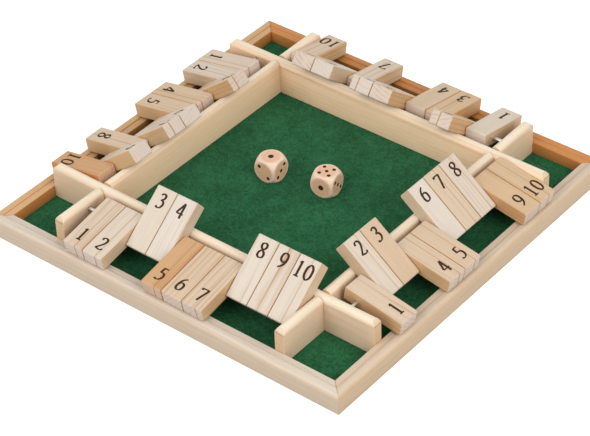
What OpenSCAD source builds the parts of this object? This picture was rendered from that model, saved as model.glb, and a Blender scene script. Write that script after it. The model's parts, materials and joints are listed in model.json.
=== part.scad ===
// A four-sided shut the box board: an open wooden tray with a felt floor, a row of ten
// hinged number tiles along each side, and two dice. Millimetres, +Z up. The origin is
// the middle of the underside.
//
// Each side is drawn as the front one and turned about Z. On a side, x runs along the row
// towards tile 10, u is the distance out from the middle of the board, and z is the height.

/* [Tiles] */
// Width of one tile along its row
tile_width = 17.1; // [14:0.1:20]
// Thickness of a tile
tile_thickness = 10.8; // [9.8:0.1:11.6]
// From the rod axis to the end of the tile that rests on the rail
tile_reach = 35.2; // [32:0.1:38]
// From the rod axis to the other end of the tile
tile_tail = 11.2; // [8:0.1:12]
// Height of the rod axis above the tile's under face
hole_height = 4.9; // [4.2:0.1:5.6]
// Rounding of the tile's end edges
tile_round = 1; // [0.4:0.1:1.4]
// Gap between two neighbouring tiles
tile_gap = 0.44; // [0.05:0.01:0.8]
// Gap between tile 10 and the wall beside it, and between the raised tiles at a corner
row_clearance = 0.3; // [0.2:0.05:0.8]

/* [Rods] */
// Diameter of the steel rod that carries a row
rod_diameter = 3; // [2.2:0.1:3.6]
// Radial clearance of a rod in its holes
rod_clearance = 0.05; // [0.02:0.01:0.1]
// How deep a rod's end sits in the wall
rod_seat = 5; // [3:0.1:6]
// How much deeper than the rod's end its hole is drilled
rod_hole_spare = 0.5; // [0.2:0.1:1]
// From the outer face of the tray wall to the rod axis
rod_setback = 15.1; // [14.4:0.1:17]
// Height of the rod axis above the top of the rails
rod_rise = 11.4; // [10.4:0.1:12.4]

/* [Tray walls] */
// Thickness of the tray walls and of the dividers at the corners
wall_thickness = 7.8; // [7.2:0.1:10]
// Height of the walls above the felt
wall_height = 27.2; // [25.5:0.1:29]
// Corner cut off the top of each free wall end
wall_end_cut = 3.3; // [1:0.1:5]
// Play between a raised tile and the wall that it leans on
lean_clearance = 0.1; // [0.05:0.05:0.3]

/* [Rails] */
// Width of the rails around the board
rail_width = 12; // [10:0.1:16]
// Height of the rails, up to the rim that the lowered tiles rest on
rail_height = 15.4; // [13:0.1:17]
// Width of the lower ledge along the inside of a rail
rail_ledge = 5.2; // [3:0.1:5.8]
// Step up from the ledge to the rim
rail_step = 0.7; // [0.2:0.1:1.2]
// Radius of the rim's outer edge
rail_round = 3.2; // [1:0.1:3.6]
// How far a lowered tile laps onto the rail
rail_lap = 7.9; // [6.6:0.1:8.4]
// Play between a lowered tile and the rail
rest_clearance = 0.05; // [0.02:0.01:0.2]

/* [Floor] */
// Thickness of the base board
base_thickness = 5; // [3:0.1:7]
// How far the base board reaches under the rails
rabbet_depth = 6; // [4:0.1:8]
// Play around the base board in its rabbet
base_clearance = 0.1; // [0.05:0.05:0.5]
// Thickness of the felt
felt_thickness = 0.8; // [0.5:0.1:2]
// Gap between the felt's edge and the rails
felt_clearance = 0.1; // [0.05:0.05:0.5]

/* [Dice] */
// Edge length of a die
die_size = 17.6; // [14:0.1:19]
// Diameter of the ball that rounds a die's corners
die_ball = 24.2; // [23.5:0.1:26]
// Distance between neighbouring pips of a die
pip_pitch = 3.8; // [3:0.1:4.4]
// Diameter of a pip
pip_diameter = 2.8; // [2:0.1:3.1]
// Diameter of the single pip
single_pip_diameter = 4.2; // [3:0.1:4.6]
// Depth of the pips
pip_depth = 0.5; // [0.2:0.1:0.8]
// First die, place along X
die_1_x = -32.4; // [-50:0.1:-22]
// First die, place along Y
die_1_y = 8.2; // [-40:0.1:40]
// First die, turn about Z
die_1_turn = 1; // [-45:1:45]
// Second die, place along X
die_2_x = 9.7; // [8:0.1:50]
// Second die, place along Y
die_2_y = 18; // [-40:0.1:40]
// Second die, turn about Z
die_2_turn = 9; // [-45:1:45]

/* [Hidden] */
$fn = 96;
cut = 1;             // how far a cutting solid runs past the face that it opens
SIDES = ["front", "right", "back", "left"];
TILES_PER_ROW = 10;
// The numbers that stand raised on each side
RAISED = [[3, 4, 8, 9, 10], [2, 3, 6, 7, 8], [2, 5, 6, 8, 9], [3, 6, 7, 9]];

// Heights
floor_z = base_thickness + felt_thickness;
wall_top_z = floor_z + wall_height;
rod_z = rail_height + rod_rise;

// A lowered tile slopes down from its rod until its outer end meets the rail. The end's
// under corner is at tile_corner from the rod axis, corner_angle below the tile's length.
tile_corner = norm([tile_reach, hole_height]);
corner_angle = atan(hole_height / tile_reach);
down_angle = asin((rod_rise - rest_clearance) / tile_corner) - corner_angle;
lowered_out = tile_corner * cos(down_angle + corner_angle);

// A raised tile leans in on the wall's round top, its upper face down
wall_round = wall_thickness / 2;
top_height = tile_thickness - hole_height;
lean_run = rod_setback + wall_round;
lean_rise = wall_top_z - wall_round - rod_z;
lean_angle = atan(lean_rise / lean_run)
    + asin((top_height + wall_round + lean_clearance) / norm([lean_run, lean_rise]));
raised_in = (tile_reach - tile_round) * cos(lean_angle)
    + (top_height - tile_round) * sin(lean_angle) + tile_round;

// Distances out from the middle. A row ends against the wall at its tile 10. Its tile 1
// stays clear of the neighbouring row's last tile when both are raised.
tile_pitch = tile_width + tile_gap;
row_length = TILES_PER_ROW * tile_pitch - tile_gap;
wall_in = (row_length + 2 * row_clearance - wall_thickness - rod_setback + raised_in) / 2;
wall_mid = wall_in + wall_round;
wall_out = wall_in + wall_thickness;
rod_u = wall_out + rod_setback;
rail_in = rod_u + lowered_out - rail_lap;
board_half = rail_in + rail_width;
row_end = wall_in - row_clearance;

function tile_name(side, number) = str(side, "_tile_", number);
function tile_x(number) = row_end - tile_width / 2 - (TILES_PER_ROW - number) * tile_pitch;
function is_raised(side, number) = len(search(number, RAISED[side])) > 0;

// Turns what is drawn for the front to a side: 0 front, 1 right, 2 back, 3 left
module on_side(side) {
    rotate([0, 0, 90 * side]) children();
}

// Extrudes a cross-section in (u, z) along x, half of the length each way
module along_row(length) {
    rotate([90, 0, -90]) linear_extrude(length, center = true) children();
}

// A rectangle from low to high with its four corners rounded
module round_rectangle(low, high, radius) {
    size = high - low;
    translate(low + [radius, 0]) square([size[0] - 2 * radius, size[1]]);
    translate(low + [0, radius]) square([size[0], size[1] - 2 * radius]);
    for (u = [low[0] + radius, high[0] - radius], z = [low[1] + radius, high[1] - radius])
        translate([u, z]) circle(radius);
}

// Base board, let into the rails from below
module base_board() {
    side = 2 * (rail_in + rabbet_depth - base_clearance);
    color("burlywood") translate([-side / 2, -side / 2, 0]) cube([side, side, base_thickness]);
}

// Felt glued over the whole floor
module felt() {
    side = 2 * (rail_in - felt_clearance);
    color("darkgreen") translate([-side / 2, -side / 2, base_thickness])
        cube([side, side, felt_thickness]);
}

// Cross-section of a rail: a ledge, a small step up to a rim with a rounded edge, the rabbet
module rail_section() {
    difference() {
        union() {
            translate([rail_in, 0]) square([rail_width - rail_round, rail_height]);
            translate([rail_in, 0]) square([rail_width, rail_height - rail_round]);
            translate([board_half - rail_round, rail_height - rail_round]) circle(rail_round);
        }
        translate([rail_in - cut, rail_height - rail_step])
            square([rail_ledge + cut, rail_step + cut]);
        translate([rail_in - cut, -cut])
            square([rabbet_depth + cut, base_thickness + cut]);
    }
}

// Rail with mitred ends
module rail(side) {
    color("wheat") on_side(side) intersection() {
        along_row(2 * board_half) rail_section();
        translate([0, 0, -cut]) linear_extrude(rail_height + 2 * cut)
            polygon([[0, 0], [-board_half, -board_half], [board_half, -board_half]]);
    }
}

// Cross-section of a wall: upright, with a full round along the top
module wall_section() {
    translate([wall_in, floor_z]) square([wall_thickness, wall_height - wall_round]);
    translate([wall_mid, wall_top_z - wall_round]) circle(wall_round);
}

// Outline of a wall seen from its side, from x = start to x = end, its free top corners cut
module wall_outline(start, end, cut_start) {
    start_cut = cut_start ? wall_end_cut : 0;
    translate([0, -wall_in + cut]) rotate([90, 0, 0]) linear_extrude(wall_thickness + 2 * cut)
        polygon([[start, floor_z], [end, floor_z], [end, wall_top_z - wall_end_cut],
            [end - wall_end_cut, wall_top_z], [start + start_cut, wall_top_z],
            [start, wall_top_z - start_cut]]);
}

// The hole for a rod's end, in the front wall's direction at distance u from the middle
module rod_hole(end) {
    depth = rod_seat + rod_hole_spare;
    translate([end * (wall_in - cut), -rod_u, rod_z]) rotate([0, end * 90, 0])
        cylinder(depth + cut, d = rod_diameter + 2 * rod_clearance);
}

// Front or back wall: it runs out to the rails, past the tray, and carries the ends of the
// right and left rods
module long_wall(side) {
    color("tan") difference() {
        on_side(side) intersection() {
            along_row(2 * rail_in) wall_section();
            wall_outline(-rail_in, rail_in, true);
        }
        for (end = [-1, 1]) on_side(side + end) rod_hole(-end);
    }
}

// Right or left wall, between the long ones
module short_wall(side) {
    color("tan") on_side(side) along_row(2 * wall_in) wall_section();
}

// Divider from a long wall out to the rail, in line with a short wall, carrying the end of
// the front or back rod. side is that of the short wall, end is where it lies along it.
module divider(side, end) {
    color("tan") difference() {
        on_side(side) mirror([end < 0 ? 1 : 0, 0, 0]) intersection() {
            along_row(2 * rail_in) wall_section();
            wall_outline(wall_out, rail_in, false);
        }
        on_side(side + end) rod_hole(-end);
    }
}

// Rod that a row of tiles turns on
module rod(side) {
    length = 2 * (wall_in + rod_seat);
    color("silver") on_side(side) translate([-length / 2, -rod_u, rod_z]) rotate([0, 90, 0])
        cylinder(length, d = rod_diameter);
}

// Tile with its rod hole, level, its rod axis along x through the origin
module tile_blank() {
    difference() {
        along_row(tile_width)
            round_rectangle([-tile_tail, -hole_height], [tile_reach, top_height], tile_round);
        rotate([0, 90, 0])
            cylinder(tile_width + 2 * cut, d = rod_diameter + 2 * rod_clearance, center = true);
    }
}

// Tile in its place, lowered onto the rail or raised onto the wall
module tile(side, number) {
    turn = is_raised(side, number) ? lean_angle - 180 : down_angle;
    color(number % 3 == 1 ? "wheat" : "bisque") on_side(side)
        translate([tile_x(number), -rod_u, rod_z]) rotate([turn, 0, 0]) tile_blank();
}

// Places of the pips of each number, in steps of pip_pitch
function pips(number) = concat(
    number % 2 == 1 ? [[0, 0]] : [],
    number > 1 ? [[-1, 1], [1, -1]] : [],
    number > 3 ? [[-1, -1], [1, 1]] : [],
    number > 5 ? [[0, 1], [0, -1]] : []);

// The pips of one number as balls that dimple the upper face
module pip_cutters(number) {
    width = number == 1 ? single_pip_diameter : pip_diameter;
    ball = (width * width / 4 + pip_depth * pip_depth) / (2 * pip_depth);
    for (place = pips(number))
        translate([place[0] * pip_pitch, place[1] * pip_pitch, die_size / 2 + ball - pip_depth])
            sphere(ball, $fn = 48);
}

// Die with 1 on top, 2 in front and 3 on the right; opposite faces add up to 7
module die_body() {
    difference() {
        intersection() {
            cube(die_size, center = true);
            sphere(d = die_ball);
        }
        pip_cutters(1);
        rotate([90, 0, 0]) pip_cutters(2);
        rotate([0, 90, 0]) pip_cutters(3);
        rotate([0, -90, 0]) pip_cutters(4);
        rotate([-90, 0, 0]) pip_cutters(5);
        rotate([180, 0, 0]) pip_cutters(6);
    }
}

// First die, showing 1
module die_1() {
    color("ivory") translate([die_1_x, die_1_y, floor_z + die_size / 2])
        rotate([0, 0, die_1_turn]) die_body();
}

// Second die, tipped towards the front so that 5 is on top
module die_2() {
    color("ivory") translate([die_2_x, die_2_y, floor_z + die_size / 2])
        rotate([90, 0, die_2_turn]) die_body();
}

base_board();
felt();
for (side = [0:3])
    rail(side);
long_wall(0);  // front_wall
short_wall(1);  // right_wall
long_wall(2);  // back_wall
short_wall(3);  // left_wall
divider(1, -1);  // front_right_divider
divider(1, 1);  // back_right_divider
divider(3, -1);  // back_left_divider
divider(3, 1);  // front_left_divider
for (side = [0:3])
    rod(side);
for (side = [0:3]) for (number = [1:TILES_PER_ROW])
    tile(side, number);
die_1();
die_2();
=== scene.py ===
"""A shut the box board of pine: rails, tray walls, felt, steel rods, forty number tiles
and two dice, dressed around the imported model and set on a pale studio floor."""

import json
import math
import random

import bmesh
import bpy
import numpy as np
from mathutils import Matrix, Vector


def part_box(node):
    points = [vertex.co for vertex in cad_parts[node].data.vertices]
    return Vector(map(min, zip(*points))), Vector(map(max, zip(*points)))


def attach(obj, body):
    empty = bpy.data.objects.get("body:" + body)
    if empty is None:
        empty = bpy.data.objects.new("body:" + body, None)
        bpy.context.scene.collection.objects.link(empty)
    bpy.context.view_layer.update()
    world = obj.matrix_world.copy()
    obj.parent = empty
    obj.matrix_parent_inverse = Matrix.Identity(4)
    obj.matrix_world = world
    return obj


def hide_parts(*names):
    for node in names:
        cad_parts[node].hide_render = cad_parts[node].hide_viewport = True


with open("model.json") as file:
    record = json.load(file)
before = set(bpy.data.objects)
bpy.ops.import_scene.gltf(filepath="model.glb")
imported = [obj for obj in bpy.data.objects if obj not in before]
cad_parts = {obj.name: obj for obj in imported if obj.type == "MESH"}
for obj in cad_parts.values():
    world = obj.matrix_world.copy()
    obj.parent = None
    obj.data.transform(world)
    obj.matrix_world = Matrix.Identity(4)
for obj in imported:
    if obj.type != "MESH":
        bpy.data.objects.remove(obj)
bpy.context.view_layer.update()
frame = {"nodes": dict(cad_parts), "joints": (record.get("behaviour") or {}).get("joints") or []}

bl_info = {
    "name": "Shut the Box Board",
    "version": (1, 0, 0),
    "blender": (4, 5, 0),
    "location": "View3D > Sidebar > Board",
    "description": "Makes a pine shut the box board with number tiles, felt and dice",
    "category": "Object",
}

MM = 0.001
SIDES = ("front", "right", "back", "left")
NUMBERS = range(1, 11)
HINGES = {joint["child"]: joint for joint in frame["joints"] if joint["type"] == "hinge"}

# Points this close are one, and faces that turn by less than this lie in one plane
SAME_POINT = 0.001 * MM
SAME_PLANE = math.radians(0.2)
# Edges that turn by more than this are rounded, in so many steps
SHARP_ANGLE = math.radians(32)
ROUNDING_STEPS = 3
# How far the painted light of a wall's round top, a paler tone, reaches down its faces
PAINTED_TOP_BLEND = 3 * MM
PLYWOOD_EDGE = 0.3 * MM
# How far the top of the felt sinks at most
FELT_UNEVENNESS = 0.12 * MM


# Colours, nodes and meshes

def linear(hex_code):
    """An sRGB colour such as "#E8D9C4" as linear RGBA."""
    parts = [int(hex_code[i:i + 2], 16) / 255 for i in (1, 3, 5)]
    return [c / 12.92 if c <= 0.04045 else ((c + 0.055) / 1.055) ** 2.4 for c in parts] + [1.0]


def add_node(tree, kind, settings=None, inputs=None):
    """Adds a node, applies its settings, and sets or links its inputs by name or number."""
    node = tree.nodes.new(kind)
    for name, value in (settings or {}).items():
        setattr(node, name, value)
    for key, value in (inputs or {}).items():
        links = value if isinstance(value, list) else [value]
        if isinstance(links[0], bpy.types.NodeSocket):
            for link in links:
                tree.links.new(link, node.inputs[key])
        else:
            node.inputs[key].default_value = value
    return node


def new_material(name):
    """An empty material and its node tree, with the shader linked to the output."""
    material = bpy.data.materials.new(name)
    material.use_nodes = True
    tree = material.node_tree
    tree.nodes.clear()
    shader = add_node(tree, "ShaderNodeBsdfPrincipled")
    add_node(tree, "ShaderNodeOutputMaterial", inputs={"Surface": shader.outputs[0]})
    return material, tree, shader


def new_geometry_tree(name, sockets):
    """A geometry node tree with the named inputs, given as (name, kind), and its group ends."""
    tree = bpy.data.node_groups.new(name, "GeometryNodeTree")
    tree.interface.new_socket("Geometry", in_out="OUTPUT", socket_type="NodeSocketGeometry")
    tree.interface.new_socket("Geometry", in_out="INPUT", socket_type="NodeSocketGeometry")
    for label, kind in sockets:
        tree.interface.new_socket(label, in_out="INPUT", socket_type="NodeSocket" + kind)
    group_in = add_node(tree, "NodeGroupInput")
    return tree, group_in.outputs


def close_geometry_tree(tree, geometry, material):
    """Ends a tree in Realize Instances and Set Material."""
    real = add_node(tree, "GeometryNodeRealizeInstances", inputs={0: geometry})
    painted = add_node(tree, "GeometryNodeSetMaterial",
                       inputs={"Geometry": real.outputs[0], "Material": material})
    add_node(tree, "NodeGroupOutput", inputs={0: painted.outputs[0]})


def new_object(name, data):
    """A new object with the given data, linked to the scene."""
    obj = bpy.data.objects.new(name, data)
    bpy.context.scene.collection.objects.link(obj)
    return obj


def evaluated_mesh(obj):
    """The mesh of an object with its modifiers applied."""
    depsgraph = bpy.context.evaluated_depsgraph_get()
    return bpy.data.meshes.new_from_object(obj.evaluated_get(depsgraph), depsgraph=depsgraph)


def run_tree(tree, source, values):
    """Runs a tree on a mesh or curve with values for its named inputs, and returns the mesh."""
    obj = new_object("workpiece", source)
    modifier = obj.modifiers.new("shape", "NODES")
    modifier.node_group = tree
    for item in tree.interface.items_tree:
        if item.in_out == "INPUT" and item.name in values:
            modifier[item.identifier] = values[item.name]
    mesh = evaluated_mesh(obj)
    bpy.data.objects.remove(obj)
    return mesh


def rounded(mesh, radius):
    """The mesh with its sharp edges rounded by radius, shaded smooth across the rounding."""
    obj = new_object("workpiece", mesh)
    bevel = obj.modifiers.new("edges", "BEVEL")
    bevel.width = radius
    bevel.segments = ROUNDING_STEPS
    bevel.limit_method = "ANGLE"
    bevel.angle_limit = SHARP_ANGLE
    bevel.use_clamp_overlap = False
    result = evaluated_mesh(obj)
    bpy.data.objects.remove(obj)
    bpy.data.meshes.remove(mesh)
    result.polygons.foreach_set("use_smooth", [True] * len(result.polygons))
    result.set_sharp_from_angle(angle=SHARP_ANGLE)
    return result


def add_piece(name, mesh, body, slot, *materials):
    """Puts a finished mesh in the scene as a piece that rides on a body."""
    mesh.name = name
    for material in materials:
        mesh.materials.append(material)
    piece = new_object(name, mesh)
    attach(piece, body)
    return piece


def copy_of_node(node):
    """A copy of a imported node's mesh, its triangles joined and its flat faces made whole."""
    work = bmesh.new()
    work.from_mesh(frame["nodes"][node].data)
    bmesh.ops.remove_doubles(work, verts=work.verts, dist=SAME_POINT)
    bmesh.ops.dissolve_limit(work, angle_limit=SAME_PLANE, verts=work.verts, edges=work.edges)
    mesh = bpy.data.meshes.new(node)
    work.to_mesh(mesh)
    work.free()
    for layer in list(mesh.uv_layers):
        mesh.uv_layers.remove(layer)
    return mesh


def face_normals(mesh):
    """The normals of a mesh's faces as rows of an array."""
    normals = np.empty(len(mesh.polygons) * 3)
    mesh.polygons.foreach_get("normal", normals)
    return normals.reshape(-1, 3)


def rising(values, start, full):
    """Values as shares: 0 up to start, 1 from full on."""
    return np.clip((values - start) / (full - start), 0, 1)


def places_from(mesh, centre):
    """The places of a mesh's points, measured from a centre, as rows of an array."""
    points = np.empty(len(mesh.vertices) * 3)
    mesh.vertices.foreach_get("co", points)
    return points.reshape(-1, 3) - np.array(centre)


def cut_from_log(mesh, centre, along, up, seed, tone, figure=None):
    """Stores where each point of a piece lay in its log, for the wood to be worked out from.

    The attribute log_place is in metres with the pith along Y, so that rings run around Y and
    the fibres along it. end_grain is 1 on faces across the fibres. tone is the board's own
    shade: 0 pale, 1 tan, 2 amber. figure is how strongly its rings show, from 0 to 1. dark_ring
    is the distance from one wide dark ring, in metres: this board has none yet."""
    chance = random.Random(seed)
    along = Vector(along).normalized()
    up = Vector(up).normalized()
    # Sawn from its log at any angle up to 70 degrees, with the pith 30 to 90 mm below it
    turn = Matrix.Rotation(chance.uniform(-1.2, 1.2), 3, along)
    radial = turn @ up
    across = along.cross(radial)
    to_log = Matrix((across, along, radial))
    pith = Vector((chance.uniform(-0.02, 0.02), chance.uniform(0, 3), chance.uniform(0.03, 0.09)))
    points = places_from(mesh, centre) @ np.array(to_log).T + np.array(pith)
    place = mesh.attributes.new("log_place", "FLOAT_VECTOR", "POINT")
    place.data.foreach_set("vector", points.ravel())
    ends = np.abs(face_normals(mesh) @ np.array(along))
    grain = mesh.attributes.new("end_grain", "FLOAT", "FACE")
    grain.data.foreach_set("value", rising(ends, 0.5, 0.9))
    if figure is None:
        figure = chance.uniform(0.1, 0.9)
    for name, value in (("tone", tone), ("figure", figure), ("dark_ring", 1.0)):
        own = mesh.attributes.new(name, "FLOAT", "POINT")
        own.data.foreach_set("value", np.full(len(mesh.vertices), value))


# Sizes and colours that a user would change

class BoardWoodSettings(bpy.types.PropertyGroup):
    """Pine of the tiles, walls and rails."""

    pale: bpy.props.StringProperty(name="Pale", description="Early wood", default="#DDD4C8")
    tan: bpy.props.StringProperty(name="Tan", description="Darker boards", default="#D1B187")
    amber: bpy.props.StringProperty(name="Amber", description="Darkest boards", default="#CA894C")
    # Painted light: the walls' round tops are painted paler and their tray faces brighter and
    # warmer than their other faces
    wall_top: bpy.props.StringProperty(
        name="Wall top", description="Rounded tops of the tray walls", default="#F1E4CC")
    wall_face: bpy.props.StringProperty(
        name="Wall face", description="Faces of the tray walls", default="#FFE0BC")
    wall_back: bpy.props.StringProperty(
        name="Wall back", description="Other faces of the walls and dividers", default="#E8CFB2")
    streak: bpy.props.StringProperty(name="Streak", description="Late wood", default="#D2AF88")
    end: bpy.props.StringProperty(name="End", description="End grain", default="#DCCFC6")
    ring_spacing: bpy.props.FloatProperty(
        name="Ring spacing", description="Distance between growth rings", default=3.1 * MM,
        min=1 * MM, max=9 * MM, unit="LENGTH")
    tile_edge: bpy.props.FloatProperty(
        name="Tile edge", description="Rounding of the tiles' edges", default=0.65 * MM,
        min=0.1 * MM, max=0.9 * MM, unit="LENGTH")
    board_edge: bpy.props.FloatProperty(
        name="Board edge", description="Rounding of the edges of rails and walls",
        default=0.5 * MM, min=0.1 * MM, max=0.9 * MM, unit="LENGTH")


class BoardNumberSettings(bpy.types.PropertyGroup):
    """Numbers printed on both faces of the tiles."""

    height: bpy.props.FloatProperty(
        name="Height", description="Height of a figure", default=11.1 * MM, min=6 * MM,
        max=13 * MM, unit="LENGTH")
    end_gap: bpy.props.FloatProperty(
        name="End gap", description="From the tile's outer end to a lowered number",
        default=6.0 * MM, min=3 * MM, max=8 * MM, unit="LENGTH")
    raised_gap: bpy.props.FloatProperty(
        name="Raised gap", description="From the tile's outer end to a raised number",
        default=3.9 * MM, min=3 * MM, max=8 * MM, unit="LENGTH")
    thick: bpy.props.FloatProperty(
        name="Thick", description="Thick stroke, as a share of the height", default=0.165)
    thin: bpy.props.FloatProperty(
        name="Thin", description="Thin stroke, as a share of the height", default=0.075)
    pen_turn: bpy.props.FloatProperty(
        name="Pen turn", description="Angle of the broad pen", default=math.radians(12),
        subtype="ANGLE")
    ink: bpy.props.StringProperty(name="Ink", description="Printing ink", default="#352012")
    soaked: bpy.props.StringProperty(
        name="Soaked", description="Ink where the wood has soaked it up", default="#4A301D")


class BoardFeltSettings(bpy.types.PropertyGroup):
    """Felt of the floor."""

    light: bpy.props.StringProperty(name="Light", description="Upper fibres", default="#2D6D46")
    dark: bpy.props.StringProperty(name="Dark", description="Lower fibres", default="#16482A")


class BoardDiceSettings(bpy.types.PropertyGroup):
    """Wooden dice."""

    pip_pitch: bpy.props.FloatProperty(
        name="Pip pitch", description="Distance between neighbouring pips", default=3.8 * MM,
        unit="LENGTH")
    pip_width: bpy.props.FloatProperty(
        name="Pip width", description="Diameter of a pip", default=2.8 * MM, unit="LENGTH")
    single_width: bpy.props.FloatProperty(
        name="Single pip width", description="Diameter of the single pip", default=4.2 * MM,
        unit="LENGTH")
    pip_depth: bpy.props.FloatProperty(
        name="Pip depth", description="Depth of the pips", default=0.5 * MM, unit="LENGTH")
    edge_softness: bpy.props.FloatProperty(
        name="Edge softness", description="Blend between a face and the rounded corners",
        default=1.0 * MM, unit="LENGTH")
    wood: bpy.props.StringProperty(name="Wood", description="Beech", default="#EBC7A8")
    shade: bpy.props.StringProperty(name="Shade", description="Darker beech", default="#D19F7A")
    # Painted highlight: a paler colour on the dice's rounded ridges
    worn: bpy.props.StringProperty(name="Ridge highlight", description="Painted highlight on the rounded ridges", default="#FFEEDC")


class BoardStageSettings(bpy.types.PropertyGroup):
    """Camera, lamps and floor."""

    azimuth: bpy.props.FloatProperty(
        name="Azimuth", description="Camera, round from the front to the right",
        default=math.radians(40.13), subtype="ANGLE")
    elevation: bpy.props.FloatProperty(
        name="Elevation", description="Camera, above the floor", default=math.radians(38.38),
        subtype="ANGLE")
    roll: bpy.props.FloatProperty(
        name="Roll", description="Camera, about its view line", default=math.radians(-2.23),
        subtype="ANGLE")
    distance: bpy.props.FloatProperty(
        name="Distance", description="Camera to its target", default=1561 * MM, unit="LENGTH")
    target: bpy.props.FloatVectorProperty(
        name="Target", description="Point in the middle of the view",
        default=(18.85 * MM, -28.94 * MM, 16 * MM), unit="LENGTH")
    lens: bpy.props.FloatProperty(
        name="Lens", description="Focal length in mm on a 36 mm sensor", default=139.37)
    right_power: bpy.props.FloatProperty(
        name="Right power", description="Soft lamp on the right, in watts", default=14.0)
    left_power: bpy.props.FloatProperty(
        name="Left power", description="Soft lamp at the front, in watts", default=13.0)
    ambient: bpy.props.FloatProperty(
        name="Ambient", description="Light from all round", default=0.68)


# Materials

def pine(name, look, pale=None, tan=None, amber=None, end=None):
    """Planed pine under clear lacquer: pale early wood with thin tan late wood rings, fine
    fibres along the board, greyish pink end grain, and a soft gloss on rounded edges. Its
    colours are those of the look, unless others are given."""
    material, tree, shader = new_material(name)
    stored = {name: add_node(tree, "ShaderNodeAttribute", {"attribute_name": name}).outputs
              for name in ("log_place", "tone", "side_shade", "figure", "end_grain", "dark_ring")}
    place = stored["log_place"]["Vector"]
    ends = stored["end_grain"]["Fac"]
    # The tone, plus painted light and shade on faces towards or away from the middle of the board,
    # and on the sides of tiles
    tone = add_node(tree, "ShaderNodeMath", {"operation": "ADD"},
                    {0: stored["tone"]["Fac"], 1: stored["side_shade"]["Fac"]}).outputs[0]

    # Rings: distance from the pith, made wavy over some centimetres, cut into years
    waves_per_metre = (45.0, 7.0, 45.0)
    ring_sway, seam_sway = 7 * MM, 1.5 * MM
    slow = add_node(tree, "ShaderNodeVectorMath", {"operation": "MULTIPLY"},
                    {0: place, 1: waves_per_metre}).outputs[0]
    wave = add_node(tree, "ShaderNodeTexNoise",
                    inputs={"Vector": slow, "Scale": 1.0, "Detail": 2.0})
    parts = add_node(tree, "ShaderNodeSeparateXYZ", inputs={0: place})
    flat = add_node(tree, "ShaderNodeCombineXYZ",
                    inputs={"X": parts.outputs["X"], "Z": parts.outputs["Z"]}).outputs[0]
    radius = add_node(tree, "ShaderNodeVectorMath", {"operation": "LENGTH"}, {0: flat})
    wavy = add_node(tree, "ShaderNodeMath", {"operation": "MULTIPLY_ADD"},
                    {0: wave.outputs["Fac"], 1: ring_sway, 2: radius.outputs["Value"]})
    years = add_node(tree, "ShaderNodeMath", {"operation": "DIVIDE"},
                     {0: wavy.outputs[0], 1: look.ring_spacing})
    year = add_node(tree, "ShaderNodeMath", {"operation": "FRACT"}, {0: years.outputs[0]})
    # Within a year the wood darkens slowly and ends sharply
    ring = add_node(tree, "ShaderNodeValToRGB", inputs={"Fac": year.outputs[0]})
    ramp = ring.color_ramp.elements
    early = 0.05
    for end_stop in ramp:
        end_stop.color = (early, early, early, 1)
    for position, value in ((0.45, 0.1), (0.8, 0.6), (0.92, 1.0)):
        ramp.new(position).color = (value, value, value, 1)

    # Fibres: 0.5 mm across, drawn coarse enough to show, and 20 mm long
    fibres_per_metre = (2000.0, 50.0, 2000.0)
    fine = add_node(tree, "ShaderNodeVectorMath", {"operation": "MULTIPLY"},
                    {0: place, 1: fibres_per_metre}).outputs[0]
    fibre = add_node(tree, "ShaderNodeTexNoise",
                     inputs={"Vector": fine, "Scale": 1.0, "Detail": 3.0})

    # Late wood is strong in some patches, 6 mm across and 80 mm long, and faint in others
    patches_per_metre = (180.0, 12.0, 180.0)
    patch = add_node(tree, "ShaderNodeVectorMath", {"operation": "MULTIPLY"},
                     {0: place, 1: patches_per_metre}).outputs[0]
    cloud = add_node(tree, "ShaderNodeTexNoise",
                     inputs={"Vector": patch, "Scale": 1.0, "Detail": 2.0})
    strength = add_node(tree, "ShaderNodeMapRange",
                        inputs={"Value": cloud.outputs["Fac"], "From Min": 0.35, "From Max": 0.7,
                                "To Min": 0.1, "To Max": 1.0})
    shown = add_node(tree, "ShaderNodeMath", {"operation": "MULTIPLY"},
                     {0: strength.outputs[0], 1: stored["figure"]["Fac"]})
    late = add_node(tree, "ShaderNodeMath", {"operation": "MULTIPLY"},
                    {0: ring.outputs["Color"], 1: shown.outputs[0]})
    fibres = add_node(tree, "ShaderNodeMapRange",
                      inputs={"Value": fibre.outputs["Fac"], "From Min": 0.3, "From Max": 0.75,
                              "To Min": 0.0, "To Max": 0.22})
    ringed = add_node(tree, "ShaderNodeMath", {"operation": "ADD"},
                      {0: late.outputs[0], 1: fibres.outputs[0]})

    # One wide dark ring, 1 mm across, fainter along the board than where it meets the end
    along_strength, end_strength = 0.45, 0.5
    off_seam = add_node(tree, "ShaderNodeMath", {"operation": "MULTIPLY_ADD"},
                        {0: wave.outputs["Fac"], 1: seam_sway, 2: stored["dark_ring"]["Fac"]})
    distance = add_node(tree, "ShaderNodeMath", {"operation": "ABSOLUTE"},
                        {0: off_seam.outputs[0]})
    line = add_node(tree, "ShaderNodeMapRange", inputs={
        "Value": distance.outputs[0], "From Min": 0.25 * MM, "From Max": 0.75 * MM,
        "To Min": 1.0, "To Max": 0.0})
    depth = add_node(tree, "ShaderNodeMath", {"operation": "MULTIPLY_ADD"},
                     {0: ends, 1: end_strength, 2: along_strength})
    dark_ring = add_node(tree, "ShaderNodeMath", {"operation": "MULTIPLY"},
                         {0: line.outputs[0], 1: depth.outputs[0]})
    amount = add_node(tree, "ShaderNodeMath", {"operation": "ADD", "use_clamp": True},
                      {0: ringed.outputs[0], 1: dark_ring.outputs[0]})
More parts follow.
